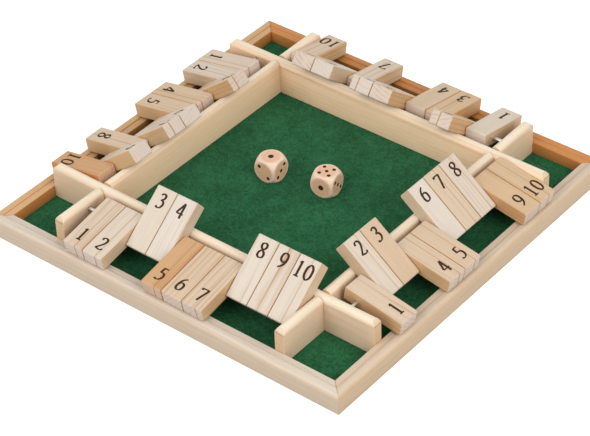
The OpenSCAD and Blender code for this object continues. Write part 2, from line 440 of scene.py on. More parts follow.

    # Own tone plus painted light and shade, then end grain, paler on all but amber boards
    light = add_node(tree, "ShaderNodeMix", {"data_type": "RGBA"},
                     {"Factor": tone, 6: linear(pale or look.pale), 7: linear(tan or look.tan)})
    past_tan = add_node(tree, "ShaderNodeMath", {"operation": "SUBTRACT", "use_clamp": True},
                        {0: tone, 1: 1.0})
    board = add_node(tree, "ShaderNodeMix", {"data_type": "RGBA"},
                     {"Factor": past_tan.outputs[0], 6: light.outputs[2],
                      7: linear(amber or look.amber)})
    most_paling = 0.65
    paling = add_node(tree, "ShaderNodeMath", {"operation": "MULTIPLY_ADD"},
                      {0: past_tan.outputs[0], 1: -most_paling, 2: most_paling})
    end_share = add_node(tree, "ShaderNodeMath", {"operation": "MULTIPLY"},
                         {0: ends, 1: paling.outputs[0]})
    ended = add_node(tree, "ShaderNodeMix", {"data_type": "RGBA"},
                     {"Factor": end_share.outputs[0], 6: board.outputs[2],
                      7: linear(end or look.end)})
    colour = add_node(tree, "ShaderNodeMix", {"data_type": "RGBA", "blend_type": "MULTIPLY"},
                      {"Factor": amount.outputs[0], 6: ended.outputs[2], 7: linear(look.streak)})
    bump = add_node(tree, "ShaderNodeBump", inputs={
        "Strength": 0.35, "Distance": 0.05 * MM, "Height": amount.outputs[0]})
    tree.links.new(colour.outputs[2], shader.inputs["Base Color"])
    tree.links.new(bump.outputs[0], shader.inputs["Normal"])
    shader.inputs["Roughness"].default_value = 0.42
    shader.inputs["IOR"].default_value = 1.45
    return material


def printing_ink(look):
    """Screen printing ink on wood: nearly black brown, matt, a little uneven where it soaks in."""
    material, tree, shader = new_material("printing_ink")
    place = add_node(tree, "ShaderNodeTexCoord").outputs["Object"]
    soak = add_node(tree, "ShaderNodeTexNoise", inputs={"Vector": place, "Scale": 1200.0})
    colour = add_node(tree, "ShaderNodeMix", {"data_type": "RGBA"},
                      {"Factor": soak.outputs["Fac"], 6: linear(look.ink), 7: linear(look.soaked)})
    tree.links.new(colour.outputs[2], shader.inputs["Base Color"])
    shader.inputs["Roughness"].default_value = 0.6
    shader.inputs["Specular IOR Level"].default_value = 0.15
    return material


def wool_felt(look):
    """Pressed wool felt: no weave, soft clouds of tangled fibres, no gloss, a faint pale fuzz."""
    material, tree, shader = new_material("wool_felt")
    place = add_node(tree, "ShaderNodeTexCoord").outputs["Object"]
    # Clouds about 17 mm wide, tangles 3 mm, and fibres 0.4 mm drawn coarse enough to show
    tangle = add_node(tree, "ShaderNodeTexNoise",
                      inputs={"Vector": place, "Scale": 330.0, "Detail": 4.0, "Distortion": 1.5})
    fibre = add_node(tree, "ShaderNodeTexNoise",
                     inputs={"Vector": place, "Scale": 2200.0, "Detail": 2.0, "Distortion": 2.0})
    cloud = add_node(tree, "ShaderNodeTexNoise", inputs={"Vector": place, "Scale": 60.0})
    both = add_node(tree, "ShaderNodeMath", {"operation": "ADD"},
                    {0: tangle.outputs["Fac"], 1: fibre.outputs["Fac"]})
    cloud_share = 0.4
    all_three = add_node(tree, "ShaderNodeMath", {"operation": "MULTIPLY_ADD"},
                         {0: cloud.outputs["Fac"], 1: cloud_share, 2: both.outputs[0]})
    share = add_node(tree, "ShaderNodeMapRange", inputs={
        "Value": all_three.outputs[0], "From Min": 1.02, "From Max": 1.38})
    colour = add_node(tree, "ShaderNodeMix", {"data_type": "RGBA"},
                      {"Factor": share.outputs[0], 6: linear(look.dark), 7: linear(look.light)})
    bump = add_node(tree, "ShaderNodeBump", inputs={
        "Strength": 0.6, "Distance": 0.15 * MM, "Height": both.outputs[0]})
    tree.links.new(colour.outputs[2], shader.inputs["Base Color"])
    tree.links.new(bump.outputs[0], shader.inputs["Normal"])
    shader.inputs["Roughness"].default_value = 0.95
    shader.inputs["Specular IOR Level"].default_value = 0.08
    shader.inputs["Sheen Weight"].default_value = 0.06
    shader.inputs["Sheen Roughness"].default_value = 0.5
    return material


def drawn_steel():
    """Bright drawn steel wire: metallic, with fine draw marks around a fairly smooth surface."""
    material, tree, shader = new_material("drawn_steel")
    place = add_node(tree, "ShaderNodeTexCoord").outputs["Object"]
    marks = add_node(tree, "ShaderNodeTexNoise", inputs={"Vector": place, "Scale": 900.0})
    rough = add_node(tree, "ShaderNodeMapRange", inputs={
        "Value": marks.outputs["Fac"], "To Min": 0.22, "To Max": 0.42})
    tree.links.new(rough.outputs[0], shader.inputs["Roughness"])
    shader.inputs["Base Color"].default_value = linear("#C9C8C4")
    shader.inputs["Metallic"].default_value = 1.0
    return material


def tumbled_beech(look):
    """Tumbled beech, waxed: pinkish tan with short dark flecks, with a painted highlight that
    makes the rounded ridges paler, and a little glossy."""
    material, tree, shader = new_material("tumbled_beech")
    place = add_node(tree, "ShaderNodeTexCoord").outputs["Object"]
    # Flecks 1.1 mm wide and 4.5 mm long
    flecks_per_metre = (900.0, 220.0, 900.0)
    stretched = add_node(tree, "ShaderNodeVectorMath", {"operation": "MULTIPLY"},
                         {0: place, 1: flecks_per_metre}).outputs[0]
    grain = add_node(tree, "ShaderNodeTexNoise",
                     inputs={"Vector": stretched, "Scale": 1.0, "Detail": 3.0})
    grained = add_node(tree, "ShaderNodeMix", {"data_type": "RGBA"},
                       {"Factor": grain.outputs["Fac"], 6: linear(look.wood),
                        7: linear(look.shade)})
    # Painted highlight on the rounded ridges
    worn = add_node(tree, "ShaderNodeAttribute", {"attribute_name": "worn"}).outputs["Fac"]
    colour = add_node(tree, "ShaderNodeMix", {"data_type": "RGBA"},
                      {"Factor": worn, 6: grained.outputs[2], 7: linear(look.worn)})
    tree.links.new(colour.outputs[2], shader.inputs["Base Color"])
    shader.inputs["Roughness"].default_value = 0.36
    shader.inputs["IOR"].default_value = 1.45
    return material


# Pieces

def board_pieces(nodes, material, slot, axis_of, edge, tone_of, figure, painted_top_tone=None,
                 inner_painted_light_and_shade=0.0, outer_painted_shade=0.0):
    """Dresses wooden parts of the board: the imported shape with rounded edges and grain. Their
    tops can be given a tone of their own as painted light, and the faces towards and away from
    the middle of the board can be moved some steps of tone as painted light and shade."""
    for node in nodes:
        low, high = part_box(node)
        mesh = rounded(copy_of_node(node), edge)
        cut_from_log(mesh, (low + high) / 2, axis_of(node), (0, 0, 1), node, tone_of(node), figure)
        # Painted light: the round top takes its own paler tone, fading out a few millimetres down
        # the faces
        if painted_top_tone is not None:
            for vertex, tone in zip(mesh.vertices, mesh.attributes["tone"].data):
                rise = (vertex.co.z - high.z) / PAINTED_TOP_BLEND + 1
                tone.value += (painted_top_tone - tone.value) * min(max(rise, 0), 1)
        # Painted light and shade: faces towards the middle and away from it move some steps of
        # tone
        if inner_painted_light_and_shade or outer_painted_shade:
            inward = -((low + high) / 2)
            inward.z = 0
            across = Vector(axis_of(node)).cross((0, 0, 1))
            across *= math.copysign(1, across.dot(inward))
            facing = face_normals(mesh) @ np.array(across)
            shade = mesh.attributes.new("side_shade", "FLOAT", "FACE")
            shade.data.foreach_set("value", inner_painted_light_and_shade * rising(facing, 0.4, 0.8)
                                   + outer_painted_shade * rising(-facing, 0.4, 0.8))
        piece = add_piece(node + "_wood", mesh, "board", slot, material)
        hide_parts(node)


def side_axis(node):
    """Direction of the fibres in a rail or wall, which run along its length."""
    low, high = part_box(node)
    size = high - low
    return (1, 0, 0) if size.x > size.y else (0, 1, 0)


class BOARD_OT_rails(bpy.types.Operator):
    """Makes the four mitred rails"""

    bl_idname = "board.rails"
    bl_label = "Rails"

    def execute(self, context):
        look = context.scene.board_wood
        tones = {"front_rail": 0.15, "right_rail": 0.45, "back_rail": 2.0, "left_rail": 1.2}
        # Painted shade: the rails' inner faces, with the step between ledge and rim, are painted
        # darker, and their outer faces a little darker
        board_pieces(tones, pine("lacquered_pine_rails", look), "rail_pine", side_axis,
                     look.board_edge, tones.get, figure=0.3, inner_painted_light_and_shade=0.9, outer_painted_shade=0.35)
        return {"FINISHED"}


class BOARD_OT_walls(bpy.types.Operator):
    """Makes the tray walls and the corner dividers"""

    bl_idname = "board.walls"
    bl_label = "Tray walls"

    def execute(self, context):
        look = context.scene.board_wood
        walls = [side + "_wall" for side in SIDES]
        # Painted light: tone 0 is the round tops, painted paler, 1 the outer faces and dividers,
        # and 2 the tray's own faces, painted brighter and warmer
        material = pine("lacquered_pine_walls", look, look.wall_top, look.wall_back,
                        look.wall_face, look.tan)
        board_pieces(walls, material, "wall_pine", side_axis, look.board_edge,
                     lambda node: 1.0, figure=0.2, painted_top_tone=0.0, inner_painted_light_and_shade=1.0)
        dividers = sorted(n for n in frame["nodes"] if n.endswith("_divider"))
        # Painted light on the dividers' round tops as well
        board_pieces(dividers, material, "wall_pine", side_axis, look.board_edge,
                     lambda node: 1.0, figure=0.2, painted_top_tone=0.0)
        return {"FINISHED"}


class BOARD_OT_floor(bpy.types.Operator):
    """Makes the plywood base board and the felt on it"""

    bl_idname = "board.floor"
    bl_label = "Base and felt"

    def execute(self, context):
        look = context.scene.board_wood
        board_pieces(["base_board"], pine("base_plywood", look), "base_plywood",
                     lambda node: (1, 0, 0), PLYWOOD_EDGE, lambda node: 0.9, figure=0.6)
        low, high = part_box("felt")
        size = high - low
        tree, sockets = new_geometry_tree("pressed_felt", [
            ("Centre", "Vector"), ("Size", "Vector"), ("Unevenness", "Float"),
            ("Material", "Material")])
        slab = add_node(tree, "GeometryNodeMeshCube", inputs={
            "Size": sockets["Size"], "Vertices X": 120, "Vertices Y": 120, "Vertices Z": 2})
        placed = add_node(tree, "GeometryNodeTransform", inputs={
            "Geometry": slab.outputs[0], "Translation": sockets["Centre"]})
        uneven = add_node(tree, "ShaderNodeTexNoise", inputs={"Scale": 60.0, "Detail": 2.0})
        sink = add_node(tree, "ShaderNodeMath", {"operation": "MULTIPLY"},
                        {0: uneven.outputs["Fac"], 1: sockets["Unevenness"]})
        down = add_node(tree, "ShaderNodeMath", {"operation": "MULTIPLY"},
                        {0: sink.outputs[0], 1: -1.0})
        offset = add_node(tree, "ShaderNodeCombineXYZ", inputs={"Z": down.outputs[0]})
        height = add_node(tree, "ShaderNodeSeparateXYZ",
                          inputs={0: add_node(tree, "GeometryNodeInputPosition").outputs[0]})
        middle = add_node(tree, "ShaderNodeSeparateXYZ", inputs={0: sockets["Centre"]})
        is_top = add_node(tree, "ShaderNodeMath", {"operation": "GREATER_THAN"},
                          {0: height.outputs["Z"], 1: middle.outputs["Z"]})
        laid = add_node(tree, "GeometryNodeSetPosition", inputs={
            "Geometry": placed.outputs[0], "Selection": is_top.outputs[0],
            "Offset": offset.outputs[0]})
        material = wool_felt(context.scene.board_felt)
        close_geometry_tree(tree, laid.outputs[0], sockets["Material"])
        mesh = run_tree(tree, bpy.data.meshes.new("felt"), {
            "Centre": (low + high) / 2, "Size": size, "Unevenness": FELT_UNEVENNESS,
            "Material": material})
        felt = add_piece("felt_cloth", mesh, "board", "green_felt")
        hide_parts("felt")
        return {"FINISHED"}


class BOARD_OT_rods(bpy.types.Operator):
    """Gives the four rods their steel"""

    bl_idname = "board.rods"
    bl_label = "Rods"

    def execute(self, context):
        steel = drawn_steel()
        for side in SIDES:
            rod = frame["nodes"][side + "_rod"]
            for material_slot in rod.material_slots:
                material_slot.material = steel
        return {"FINISHED"}


# Number tiles

# Figures as pen strokes in a cell one unit high, x to the right, y up from the foot. A stroke
# is a smooth line through its points, or straight between two. True closes it into a loop.
FIGURES = {
    "0": [([(0.27, 0.965), (0.455, 0.79), (0.49, 0.5), (0.455, 0.21), (0.27, 0.035),
            (0.085, 0.21), (0.05, 0.5), (0.085, 0.79)], True)],
    "1": [([(0.17, 0.99), (0.17, 0.0)], False), ([(0.17, 0.96), (0.1, 0.89), (0.02, 0.86)], False),
          ([(0.01, 0.025), (0.34, 0.025)], False)],
    "2": [([(0.06, 0.76), (0.11, 0.91), (0.25, 0.965), (0.41, 0.88), (0.43, 0.69), (0.31, 0.42),
            (0.04, 0.07)], False),
          ([(0.02, 0.06), (0.12, 0.085), (0.3, 0.045), (0.46, 0.06), (0.54, 0.17)], False)],
    "3": [([(0.06, 0.84), (0.22, 0.965), (0.4, 0.88), (0.37, 0.67), (0.19, 0.55)], False),
          ([(0.17, 0.55), (0.38, 0.5), (0.45, 0.3), (0.33, 0.09), (0.14, 0.035),
            (0.01, 0.12)], False)],
    "4": [([(0.36, 0.98), (0.02, 0.3)], False), ([(0.01, 0.29), (0.52, 0.29)], False),
          ([(0.37, 0.98), (0.37, 0.0)], False)],
    "5": [([(0.15, 0.95), (0.46, 0.95)], False), ([(0.17, 0.96), (0.12, 0.57)], False),
          ([(0.11, 0.57), (0.29, 0.6), (0.44, 0.48), (0.44, 0.24), (0.3, 0.07), (0.13, 0.035),
            (0.01, 0.1)], False)],
    "6": [([(0.28, 0.6), (0.45, 0.5), (0.48, 0.3), (0.42, 0.11), (0.27, 0.035), (0.11, 0.11),
            (0.06, 0.31), (0.11, 0.5)], True),
          ([(0.06, 0.31), (0.09, 0.56), (0.2, 0.8), (0.41, 0.97)], False)],
    "7": [([(0.04, 0.93), (0.49, 0.93)], False), ([(0.045, 0.96), (0.03, 0.8)], False),
          ([(0.48, 0.95), (0.2, 0.0)], False)],
    "8": [([(0.26, 0.965), (0.42, 0.88), (0.42, 0.7), (0.26, 0.53), (0.09, 0.36), (0.08, 0.13),
            (0.26, 0.035), (0.44, 0.13), (0.45, 0.34), (0.26, 0.53), (0.1, 0.68),
            (0.09, 0.87)], True)],
    "9": [([(0.26, 0.4), (0.09, 0.5), (0.05, 0.7), (0.11, 0.89), (0.26, 0.965), (0.42, 0.89),
            (0.47, 0.69), (0.42, 0.5)], True),
          ([(0.47, 0.69), (0.44, 0.44), (0.31, 0.2), (0.07, 0.02)], False)],
}
FIGURE_WIDTHS = {"0": 0.54, "1": 0.35, "2": 0.54, "3": 0.47, "4": 0.53, "5": 0.47, "6": 0.53,
                 "7": 0.5, "8": 0.52, "9": 0.52}
FIGURE_SPACE = 0.24

# Half the thickness of a printed figure: most of it is soaked into the wood
INK_HALF = 0.06 * MM
INK_PROUD = 0.03 * MM

# Tiles whose shade stands out: 0 is pale, 1 is tan, 2 is amber
TILE_TONES = {
    "front_tile_3": 0.2, "front_tile_4": 0.0, "front_tile_5": 1.3, "front_tile_8": 0.1,
    "front_tile_9": 0.15, "front_tile_10": 0.15,
    "right_tile_1": 0.5, "right_tile_2": 0.2, "right_tile_3": 0.7, "right_tile_4": 0.6,
    "right_tile_5": 0.65, "right_tile_6": 0.05, "right_tile_8": 0.2, "right_tile_9": 0.9,
    "right_tile_10": 0.85, "back_tile_3": 0.9, "back_tile_4": 0.7,
    "left_tile_4": 0.75, "left_tile_5": 0.7, "left_tile_8": 0.6, "left_tile_10": 1.5,
}

# Painted shade: how much darker the sides of a tile are, in steps of tone, for the shade in the
# narrow gaps between tiles
PAINTED_GAP_SHADE = 0.5

# Where the wide dark ring crosses a tile, in mm from its middle towards the next number
DARK_RINGS = {
    "front_tile_1": 2.6, "front_tile_2": 3.6, "front_tile_5": 3.4, "front_tile_7": 4.0,
    "front_tile_9": 1.0, "front_tile_10": 3.0,
}

# A tile's rod hole lies within this distance of its axis, and nothing else does
HOLE_REACH = 2.5 * MM
# Faces of a tile's hull that turn by less than this lie in one plane
HULL_PLANE = math.radians(0.5)
# Longer than a tile is wide, so that it comes out at both sides
DRILL_LENGTH = 60 * MM
# Faces larger than this are a tile's flat ones; the rounded edges between them stay smooth
FLAT_FACE_AREA = 60 * MM * MM


def smooth_line(points, closed):
    """Points along a smooth line through the given ones; two points stay a straight line."""
    steps = 8
    if len(points) == 2:
        return points
    count = len(points)
    path = []
    for i in range(count if closed else count - 1):
        if closed:
            a, b, c, d = (Vector(points[(i + k) % count]) for k in (-1, 0, 1, 2))
        else:
            a, b, c, d = (Vector(points[min(max(i + k, 0), count - 1)]) for k in (-1, 0, 1, 2))
        for step in range(steps):
            t = step / steps
            path.append(0.5 * (2 * b + (c - a) * t + (2 * a - 5 * b + 4 * c - d) * t ** 2
                               + (3 * b - a - 3 * c + d) * t ** 3))
    if not closed:
        path.append(Vector(points[-1]))
    return path


def pen_tree():
    """A broad pen that follows curves: wide where it moves across its edge, thin along it."""
    tree, sockets = new_geometry_tree("broad_pen", [
        ("Thick", "Float"), ("Thin", "Float"), ("Pen Edge", "Vector"), ("Material", "Material")])
    upright = add_node(tree, "GeometryNodeSetCurveNormal", {"mode": "Z_UP"},
                       {"Curve": sockets["Geometry"]})
    tangent = add_node(tree, "GeometryNodeInputTangent")
    swing = add_node(tree, "ShaderNodeVectorMath", {"operation": "CROSS_PRODUCT"},
                     {0: tangent.outputs[0], 1: sockets["Pen Edge"]})
    share = add_node(tree, "ShaderNodeVectorMath", {"operation": "LENGTH"}, {0: swing.outputs[0]})
    width = add_node(tree, "ShaderNodeMapRange", inputs={
        "Value": share.outputs["Value"], "To Min": sockets["Thin"], "To Max": sockets["Thick"]})
    nib = add_node(tree, "GeometryNodeCurvePrimitiveQuadrilateral", inputs={
        "Width": 1.0, "Height": 1.0})
    stroke = add_node(tree, "GeometryNodeCurveToMesh", inputs={
        "Curve": upright.outputs[0], "Profile Curve": nib.outputs[0], "Scale": width.outputs[0],
        "Fill Caps": True})
    place = add_node(tree, "ShaderNodeSeparateXYZ",
                     inputs={0: add_node(tree, "GeometryNodeInputPosition").outputs[0]})
    side = add_node(tree, "ShaderNodeMath", {"operation": "SIGN"}, {0: place.outputs["Z"]})
    level = add_node(tree, "ShaderNodeCombineXYZ", inputs={
        "X": place.outputs["X"], "Y": place.outputs["Y"], "Z": side.outputs[0]})
    flat = add_node(tree, "GeometryNodeSetPosition", inputs={
        "Geometry": stroke.outputs[0], "Position": level.outputs[0]})
    joined = add_node(tree, "GeometryNodeMeshBoolean", {"operation": "UNION", "solver": "EXACT"},
                      {"Mesh 2": flat.outputs[0], "Self Intersection": True})
    close_geometry_tree(tree, joined.outputs[0], sockets["Material"])
    return tree


def figure_mesh(tree, figure, look, ink):
    """One figure drawn by the pen, one unit high and from -1 to 1 in thickness."""
    lines = bpy.data.curves.new("figure_" + figure, "CURVE")
    lines.dimensions = "3D"
    for points, closed in FIGURES[figure]:
        path = smooth_line(points, closed)
        spline = lines.splines.new("POLY")
        spline.points.add(len(path) - 1)
        for point, (x, y) in zip(spline.points, path):
            point.co = (x, y, 0, 1)
        spline.use_cyclic_u = closed
    edge = (math.cos(look.pen_turn), math.sin(look.pen_turn), 0)
    return run_tree(tree, lines, {
        "Thick": look.thick, "Thin": look.thin, "Pen Edge": edge, "Material": ink})


def tile_frame(node, mesh):
    """How a tile lies: its hole's centre, and unit vectors across it, along it to its outer
    end, and up out of the face that is on top when it is lowered."""
    hinge = HINGES[node]
    centre = Vector(hinge["pos_m"])
    across = -Vector(hinge["axis"])
    faces = [p for p in mesh.polygons if abs(p.normal.dot(across)) < 0.5]
    up = max(faces, key=lambda p: p.area).normal.copy()
    along = across.cross(up)
    reach = [(v.co - centre).dot(along) for v in mesh.vertices]
    if max(reach) < -min(reach):
        up, along = -up, -along
    return centre, across, along, up


def write_number(number, figures, foot, right, upward, normal, height):
    """The figures of a number as one mesh on a face, centred across it from its foot up."""
    text = str(number)
    widths = [FIGURE_WIDTHS[c] for c in text]
    start = -(sum(widths) + FIGURE_SPACE * (len(text) - 1)) / 2
    work = bmesh.new()
    for character, width in zip(text, widths):
        part = figures[character].copy()
        turn = Matrix((right * height, upward * height, normal * INK_HALF)).transposed()
        place = Matrix.Translation(foot + right * start * height) @ turn.to_4x4()
        part.transform(place)
        work.from_mesh(part)
        bpy.data.meshes.remove(part)
        start += width + FIGURE_SPACE
    return work


def tile_block(node, centre, across):
    """A tile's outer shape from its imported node, without the rod hole, and the hole's radius."""
    points = {tuple(round(c, 7) for c in v.co) for v in frame["nodes"][node].data.vertices}
    offsets = [(Vector(p), (Vector(p) - centre).cross(across).length) for p in sorted(points)]
    work = bmesh.new()
    for point, off_axis in offsets:
        if off_axis > HOLE_REACH:
            work.verts.new(point)
    hull = bmesh.ops.convex_hull(work, input=work.verts)
    spare = {v for v in hull["geom_interior"] + hull["geom_unused"]
             if isinstance(v, bmesh.types.BMVert)}
    bmesh.ops.delete(work, geom=list(spare), context="VERTS")
    bmesh.ops.dissolve_limit(work, angle_limit=HULL_PLANE, verts=work.verts, edges=work.edges)
    bmesh.ops.recalc_face_normals(work, faces=work.faces)
    mesh = bpy.data.meshes.new(node)
    work.to_mesh(mesh)
    work.free()
    return mesh, max(off_axis for point, off_axis in offsets if off_axis <= HOLE_REACH)


def bored(mesh, centre, across, radius):
    """The tile with its rod hole bored through, its flat faces shaded flat."""
    work = bmesh.new()
    bmesh.ops.create_cone(work, segments=32, cap_ends=True, radius1=radius, radius2=radius,
                          depth=DRILL_LENGTH, matrix=Matrix.Translation(centre)
                          @ across.to_track_quat("Z", "Y").to_matrix().to_4x4())
    drill_mesh = bpy.data.meshes.new("drill")
    work.to_mesh(drill_mesh)
    work.free()
    drill = new_object("drill", drill_mesh)
    tile = new_object("workpiece", mesh)
    bore = tile.modifiers.new("bore", "BOOLEAN")
    bore.operation = "DIFFERENCE"
    bore.solver = "EXACT"
    bore.object = drill
    result = evaluated_mesh(tile)
    for obj in (drill, tile):
        bpy.data.objects.remove(obj)
    for used in (drill_mesh, mesh):
        bpy.data.meshes.remove(used)
    result.polygons.foreach_set("use_smooth",
                                [p.area < FLAT_FACE_AREA for p in result.polygons])
    return result


def finish_tile(mesh, centre, across, ring):
    """Paints the sides of a tile darker than its planed faces, as painted shade for the gaps
    between tiles, and places its wide dark ring."""
    sideways = np.abs(face_normals(mesh) @ np.array(across))
    # Painted shade on the sides of the tile
    shade = mesh.attributes.new("side_shade", "FLOAT", "FACE")
    shade.data.foreach_set("value", PAINTED_GAP_SHADE * rising(sideways, 0.1, 0.7))
    if ring is not None:
        side = places_from(mesh, centre) @ np.array(across)
        mesh.attributes["dark_ring"].data.foreach_set("value", side - ring * MM)


class BOARD_OT_number_tiles(bpy.types.Operator):
    """Makes the forty tiles and prints a number on both faces of each"""

    bl_idname = "board.number_tiles"
    bl_label = "Number tiles"

    def execute(self, context):
        wood = context.scene.board_wood
        look = context.scene.board_numbers
        material = pine("lacquered_pine_tiles", wood)
        ink = printing_ink(look)
        tree = pen_tree()
        figures = {c: figure_mesh(tree, c, look, ink) for c in FIGURES}
        chance = random.Random(7)
        for side in SIDES:
            for number in NUMBERS:
                node = f"{side}_tile_{number}"
                packed = copy_of_node(node)
                centre, across, along, up = tile_frame(node, packed)
                spans = [(v.co - centre) for v in packed.vertices]
                reach = max(p.dot(along) for p in spans)
                over = max(p.dot(up) for p in spans)
                under = -min(p.dot(up) for p in spans)
                bpy.data.meshes.remove(packed)
                block, bore_radius = tile_block(node, centre, across)
                mesh = bored(rounded(block, wood.tile_edge), centre, across, bore_radius)
                tone = TILE_TONES.get(node, chance.uniform(0.2, 0.7))
                ring = DARK_RINGS.get(node, chance.choice((None, chance.uniform(2, 4.5))))
                cut_from_log(mesh, centre, along, up, node, tone)
                finish_tile(mesh, centre, across, ring)
                tile = add_piece(node + "_wood", mesh, node, "tile_pine", material)
                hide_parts(node)
                foot = (centre + along * (reach - look.end_gap)
                        + up * (over + INK_PROUD - INK_HALF))
                lowered = write_number(number, figures, foot, across, -along, up, look.height)
                foot = (centre + along * (reach - look.raised_gap - look.height)
                        - up * (under + INK_PROUD - INK_HALF))
                raised = write_number(number, figures, foot, across, along, -up, look.height)
                printed = bpy.data.meshes.new(node + "_number")
                lowered.to_mesh(printed)
                raised.from_mesh(printed)
                raised.to_mesh(printed)
                lowered.free()
                raised.free()
                add_piece(node + "_number", printed, node, "tile_pine", ink)
        for mesh in figures.values():
            bpy.data.meshes.remove(mesh)
        return {"FINISHED"}


# Dice

# Which numbers are on top and in front of each die, seen from the front side
DICE_SHOW = {"die_1": (1, 2), "die_2": (5, 1)}
# Faces in the die's own frame: the normal, and the direction that pips are counted along
DIE_FACES = {1: ((0, 0, 1), (1, 0, 0)), 2: ((0, -1, 0), (1, 0, 0)), 3: ((1, 0, 0), (0, 0, -1)),
             4: ((-1, 0, 0), (0, 0, 1)), 5: ((0, 1, 0), (1, 0, 0)), 6: ((0, 0, -1), (1, 0, 0))}
# Painted highlight on a die's rounded ridges: it rises from the first share of a half edge
# from the die's centre, over the second, to at most the third
HIGHLIGHT_FROM, HIGHLIGHT_OVER, HIGHLIGHT_MOST = 1.22, 0.15, 0.45
# A face is upright where its normal's height is less than this
UPRIGHT = 0.01
# Edges that turn by more than this, as round a pip, stay sharp
PIP_EDGE = math.radians(40)


def pip_places(number):
    """Places of a number's pips in steps of the pip pitch."""
    places = [(0, 0)] if number % 2 else []
    places += [(-1, 1), (1, -1)] if number > 1 else []
    places += [(-1, -1), (1, 1)] if number > 3 else []
    places += [(0, 1), (0, -1)] if number > 5 else []
    return places


def pip_points(half, look):
    """The centres of the balls that dimple a die, as a mesh of points that store each
    ball's radius."""
    points, radii = [], []
    for number, (normal, first) in DIE_FACES.items():
        normal, first = Vector(normal), Vector(first)
        second = normal.cross(first)
        width = look.single_width if number == 1 else look.pip_width
        ball = (width ** 2 / 4 + look.pip_depth ** 2) / (2 * look.pip_depth)
        for a, b in pip_places(number):
            points.append(normal * (half + ball - look.pip_depth)
                          + (first * a + second * b) * look.pip_pitch)
            radii.append(ball)
    mesh = bpy.data.meshes.new("pips")
    mesh.from_pydata(points, [], [])
    mesh.attributes.new("ball_radius", "FLOAT", "POINT").data.foreach_set("value", radii)
    return mesh


def die_tree():
    """A die: a cube cut down to a ball at its corners, with a soft edge between the flat
    faces and the ball, and a ball taken out of it at every input point."""
    tree, sockets = new_geometry_tree("rounded_die", [
        ("Half Edge", "Float"), ("Ball Radius", "Float"), ("Edge Softness", "Float"),
        ("Wood", "Material"), ("Ink", "Material")])
    cube = add_node(tree, "GeometryNodeMeshCube", inputs={
        "Size": (2.0, 2.0, 2.0), "Vertices X": 33, "Vertices Y": 33, "Vertices Z": 33})
    place = add_node(tree, "GeometryNodeInputPosition").outputs[0]
    heading = add_node(tree, "ShaderNodeVectorMath", {"operation": "NORMALIZE"},
                       {0: place}).outputs[0]
    positive = add_node(tree, "ShaderNodeVectorMath", {"operation": "ABSOLUTE"}, {0: heading})
    parts = add_node(tree, "ShaderNodeSeparateXYZ", inputs={0: positive.outputs[0]})
    most = add_node(tree, "ShaderNodeMath", {"operation": "MAXIMUM"},
                    {0: parts.outputs["X"], 1: parts.outputs["Y"]})
    most = add_node(tree, "ShaderNodeMath", {"operation": "MAXIMUM"},
                    {0: most.outputs[0], 1: parts.outputs["Z"]})
    flat = add_node(tree, "ShaderNodeMath", {"operation": "DIVIDE"},
                    {0: sockets["Half Edge"], 1: most.outputs[0]})
    radius = add_node(tree, "ShaderNodeMath", {"operation": "SMOOTH_MIN"}, {
        0: flat.outputs[0], 1: sockets["Ball Radius"], 2: sockets["Edge Softness"]})
    target = add_node(tree, "ShaderNodeVectorMath", {"operation": "SCALE"},
                      {0: heading, "Scale": radius.outputs[0]})
    shaped = add_node(tree, "GeometryNodeSetPosition", inputs={
        "Geometry": cube.outputs[0], "Position": target.outputs[0]})
    body = add_node(tree, "GeometryNodeSetMaterial", inputs={
        "Geometry": shaped.outputs[0], "Material": sockets["Wood"]})
    ball = add_node(tree, "GeometryNodeMeshUVSphere", inputs={
        "Segments": 24, "Rings": 24, "Radius": 1.0})
    inked = add_node(tree, "GeometryNodeSetMaterial", inputs={
        "Geometry": ball.outputs[0], "Material": sockets["Ink"]})
    size = add_node(tree, "GeometryNodeInputNamedAttribute", {"data_type": "FLOAT"},
                    {"Name": "ball_radius"})
    balls = add_node(tree, "GeometryNodeInstanceOnPoints", inputs={
        "Points": sockets["Geometry"], "Instance": inked.outputs[0], "Scale": size.outputs[0]})
    drilled = add_node(tree, "GeometryNodeMeshBoolean",
                       {"operation": "DIFFERENCE", "solver": "EXACT"},
                       {"Mesh 1": body.outputs[0], "Mesh 2": balls.outputs[0]})
    real = add_node(tree, "GeometryNodeRealizeInstances", inputs={0: drilled.outputs[0]})
    add_node(tree, "NodeGroupOutput", inputs={0: real.outputs[0]})
    return tree


def die_turn(node, mesh):
    """The rotation of a die from its own frame, found from its upright faces."""
    faces = [p for p in mesh.polygons if abs(p.normal.z) < UPRIGHT]
    front = max(faces, key=lambda p: -p.normal.y * p.area).normal
    top_number, front_number = DICE_SHOW[node]
    top_axis = Vector(DIE_FACES[top_number][0])
    front_axis = Vector(DIE_FACES[front_number][0])
    own = Matrix((front_axis, top_axis, front_axis.cross(top_axis)))
    up = Vector((0, 0, 1))
    world = Matrix((front, up, front.cross(up)))
    return (world.transposed() @ own).to_4x4()


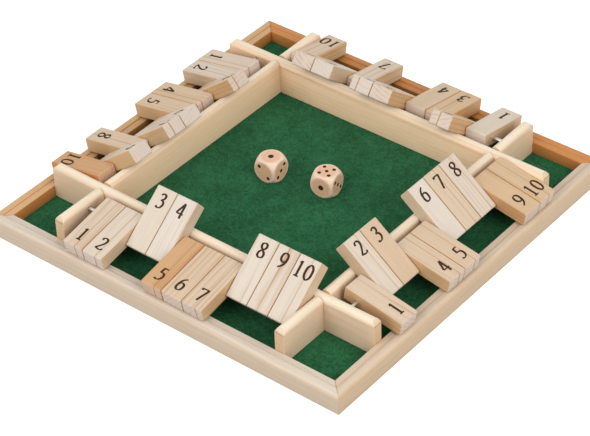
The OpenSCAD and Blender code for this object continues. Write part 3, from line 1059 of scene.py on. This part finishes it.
class BOARD_OT_dice(bpy.types.Operator):
    """Makes the two dice with their pips"""

    bl_idname = "board.dice"
    bl_label = "Dice"

    def execute(self, context):
        look = context.scene.board_dice
        wood = tumbled_beech(look)
        ink = bpy.data.materials["printing_ink"]
        tree = die_tree()
        for node in DICE_SHOW:
            low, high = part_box(node)
            centre = (low + high) / 2
            half = (high.z - low.z) / 2
            plain = copy_of_node(node)
            ball = max((v.co - centre).length for v in plain.vertices)
            mesh = run_tree(tree, pip_points(half, look), {
                "Half Edge": half, "Ball Radius": ball, "Edge Softness": look.edge_softness,
                "Wood": wood, "Ink": ink})
            # Painted highlight at each point, for the gloss on the rounded ridges: 0 on the faces,
            # most at the corners
            worn = [min(max((v.co.length - HIGHLIGHT_FROM * half) / (HIGHLIGHT_OVER * half), 0), 1)
                    * HIGHLIGHT_MOST for v in mesh.vertices]
            mesh.attributes.new("worn", "FLOAT", "POINT").data.foreach_set("value", worn)
            mesh.transform(Matrix.Translation(centre) @ die_turn(node, plain))
            mesh.polygons.foreach_set("use_smooth", [True] * len(mesh.polygons))
            mesh.set_sharp_from_angle(angle=PIP_EDGE)
            die = add_piece(node + "_wood", mesh, node, "die_wood")
            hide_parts(node)
        return {"FINISHED"}


# Stage

# Places and size of the softboxes, and half the width of the floor, in metres
RIGHT_SOFTBOX = (1.5, -0.2, 1.05)
LEFT_SOFTBOX = (-0.4, -1.55, 1.05)
SOFTBOX_SIZE = 1.2
FLOOR_REACH = 6.0
# Emission that makes the lit paper white to the camera
PAPER_GLOW = 0.85


def aim(obj, target, roll=0.0):
    """Turns a camera or lamp at a target, with a roll about its view line."""
    view = (target - obj.location).normalized()
    turn = view.to_track_quat("-Z", "Y").to_matrix().to_4x4()
    obj.matrix_world = Matrix.Translation(obj.location) @ turn @ Matrix.Rotation(roll, 4, "Z")


def add_softbox(name, place, power):
    """A square soft white lamp at a place, aimed at the board."""
    lamp = bpy.data.lights.new(name, "AREA")
    lamp.size = SOFTBOX_SIZE
    lamp.energy = power
    obj = new_object(name, lamp)
    obj.location = place
    aim(obj, Vector((0, 0, 0)))


def shown_to_rays(tree):
    """An output that is 1 for rays from the camera, in gloss and through glass, else 0."""
    rays = add_node(tree, "ShaderNodeLightPath")
    seen = add_node(tree, "ShaderNodeMath", {"operation": "MAXIMUM"}, {
        0: rays.outputs["Is Camera Ray"], 1: rays.outputs["Is Glossy Ray"]})
    seen = add_node(tree, "ShaderNodeMath", {"operation": "MAXIMUM"}, {
        0: seen.outputs[0], 1: rays.outputs["Is Transmission Ray"]})
    return seen.outputs[0]


class BOARD_OT_stage(bpy.types.Operator):
    """Makes the camera, the soft lamps, the pale floor and the white surroundings"""

    bl_idname = "board.stage"
    bl_label = "Stage"

    def execute(self, context):
        look = context.scene.board_stage
        camera_data = bpy.data.cameras.new("camera")
        camera_data.lens = look.lens
        camera_data.sensor_width = 36
        camera_data.sensor_fit = "HORIZONTAL"
        camera_data.clip_end = 20
        camera = new_object("camera", camera_data)
        target = Vector(look.target)
        outward = Vector((math.sin(look.azimuth) * math.cos(look.elevation),
                          -math.cos(look.azimuth) * math.cos(look.elevation),
                          math.sin(look.elevation)))
        camera.location = target + outward * look.distance
        aim(camera, target, look.roll)
        context.scene.camera = camera
        context.scene.view_settings.view_transform = "Standard"

        add_softbox("right_softbox", RIGHT_SOFTBOX, look.right_power)
        add_softbox("left_softbox", LEFT_SOFTBOX, look.left_power)

        floor_mesh = bpy.data.meshes.new("studio_floor")
        corners = [(x * FLOOR_REACH, y * FLOOR_REACH, 0)
                   for x, y in ((-1, -1), (1, -1), (1, 1), (-1, 1))]
        floor_mesh.from_pydata(corners, [], [(0, 1, 2, 3)])
        floor_mesh.materials.append(white_sweep())
        floor = new_object("studio_floor", floor_mesh)
        surround_with_white(context.scene, look.ambient)
        return {"FINISHED"}


def white_sweep():
    """Matt white studio paper: white to the camera, and it still takes the board's shadow."""
    material, tree, shader = new_material("white_sweep")
    shader.inputs["Base Color"].default_value = linear("#A8A8A6")
    shader.inputs["Roughness"].default_value = 0.9
    glow = add_node(tree, "ShaderNodeMath", {"operation": "MULTIPLY"},
                    {0: shown_to_rays(tree), 1: PAPER_GLOW})
    tree.links.new(glow.outputs[0], shader.inputs["Emission Strength"])
    shader.inputs["Emission Color"].default_value = linear("#FFFFFF")
    return material


def surround_with_white(scene, ambient):
    """A world that is white to the camera and in reflections, and lights the board plainly."""
    world = bpy.data.worlds.new("studio")
    scene.world = world
    world.use_nodes = True
    tree = world.node_tree
    tree.nodes.clear()
    strength = add_node(tree, "ShaderNodeMapRange", inputs={
        "Value": shown_to_rays(tree), "To Min": ambient, "To Max": 1.0})
    back = add_node(tree, "ShaderNodeBackground", inputs={
        "Color": linear("#FFFFFF"), "Strength": strength.outputs[0]})
    add_node(tree, "ShaderNodeOutputWorld", inputs={"Surface": back.outputs[0]})


# Panel, registration and the run

class BOARD_PT_panel(bpy.types.Panel):
    """Lists the steps that make the board"""

    bl_idname = "BOARD_PT_panel"
    bl_label = "Shut the Box Board"
    bl_space_type = "VIEW_3D"
    bl_region_type = "UI"
    bl_category = "Board"

    def draw(self, context):
        for operator in OPERATORS:
            self.layout.operator(operator.bl_idname)


OPERATORS = (BOARD_OT_floor, BOARD_OT_rails, BOARD_OT_walls, BOARD_OT_rods,
             BOARD_OT_number_tiles, BOARD_OT_dice, BOARD_OT_stage)
SETTINGS = {"board_wood": BoardWoodSettings, "board_numbers": BoardNumberSettings,
            "board_felt": BoardFeltSettings, "board_dice": BoardDiceSettings,
            "board_stage": BoardStageSettings}


def register():
    for cls in (*SETTINGS.values(), *OPERATORS, BOARD_PT_panel):
        bpy.utils.register_class(cls)
    for name, settings in SETTINGS.items():
        setattr(bpy.types.Scene, name, bpy.props.PointerProperty(type=settings))


def unregister():
    for name in SETTINGS:
        delattr(bpy.types.Scene, name)
    for cls in (BOARD_PT_panel, *reversed(OPERATORS), *reversed(SETTINGS.values())):
        bpy.utils.unregister_class(cls)


def main():
    register()
    for operator in OPERATORS:
        group, name = operator.bl_idname.split(".")
        getattr(getattr(bpy.ops, group), name)()


if __name__ == "__main__":
    main()
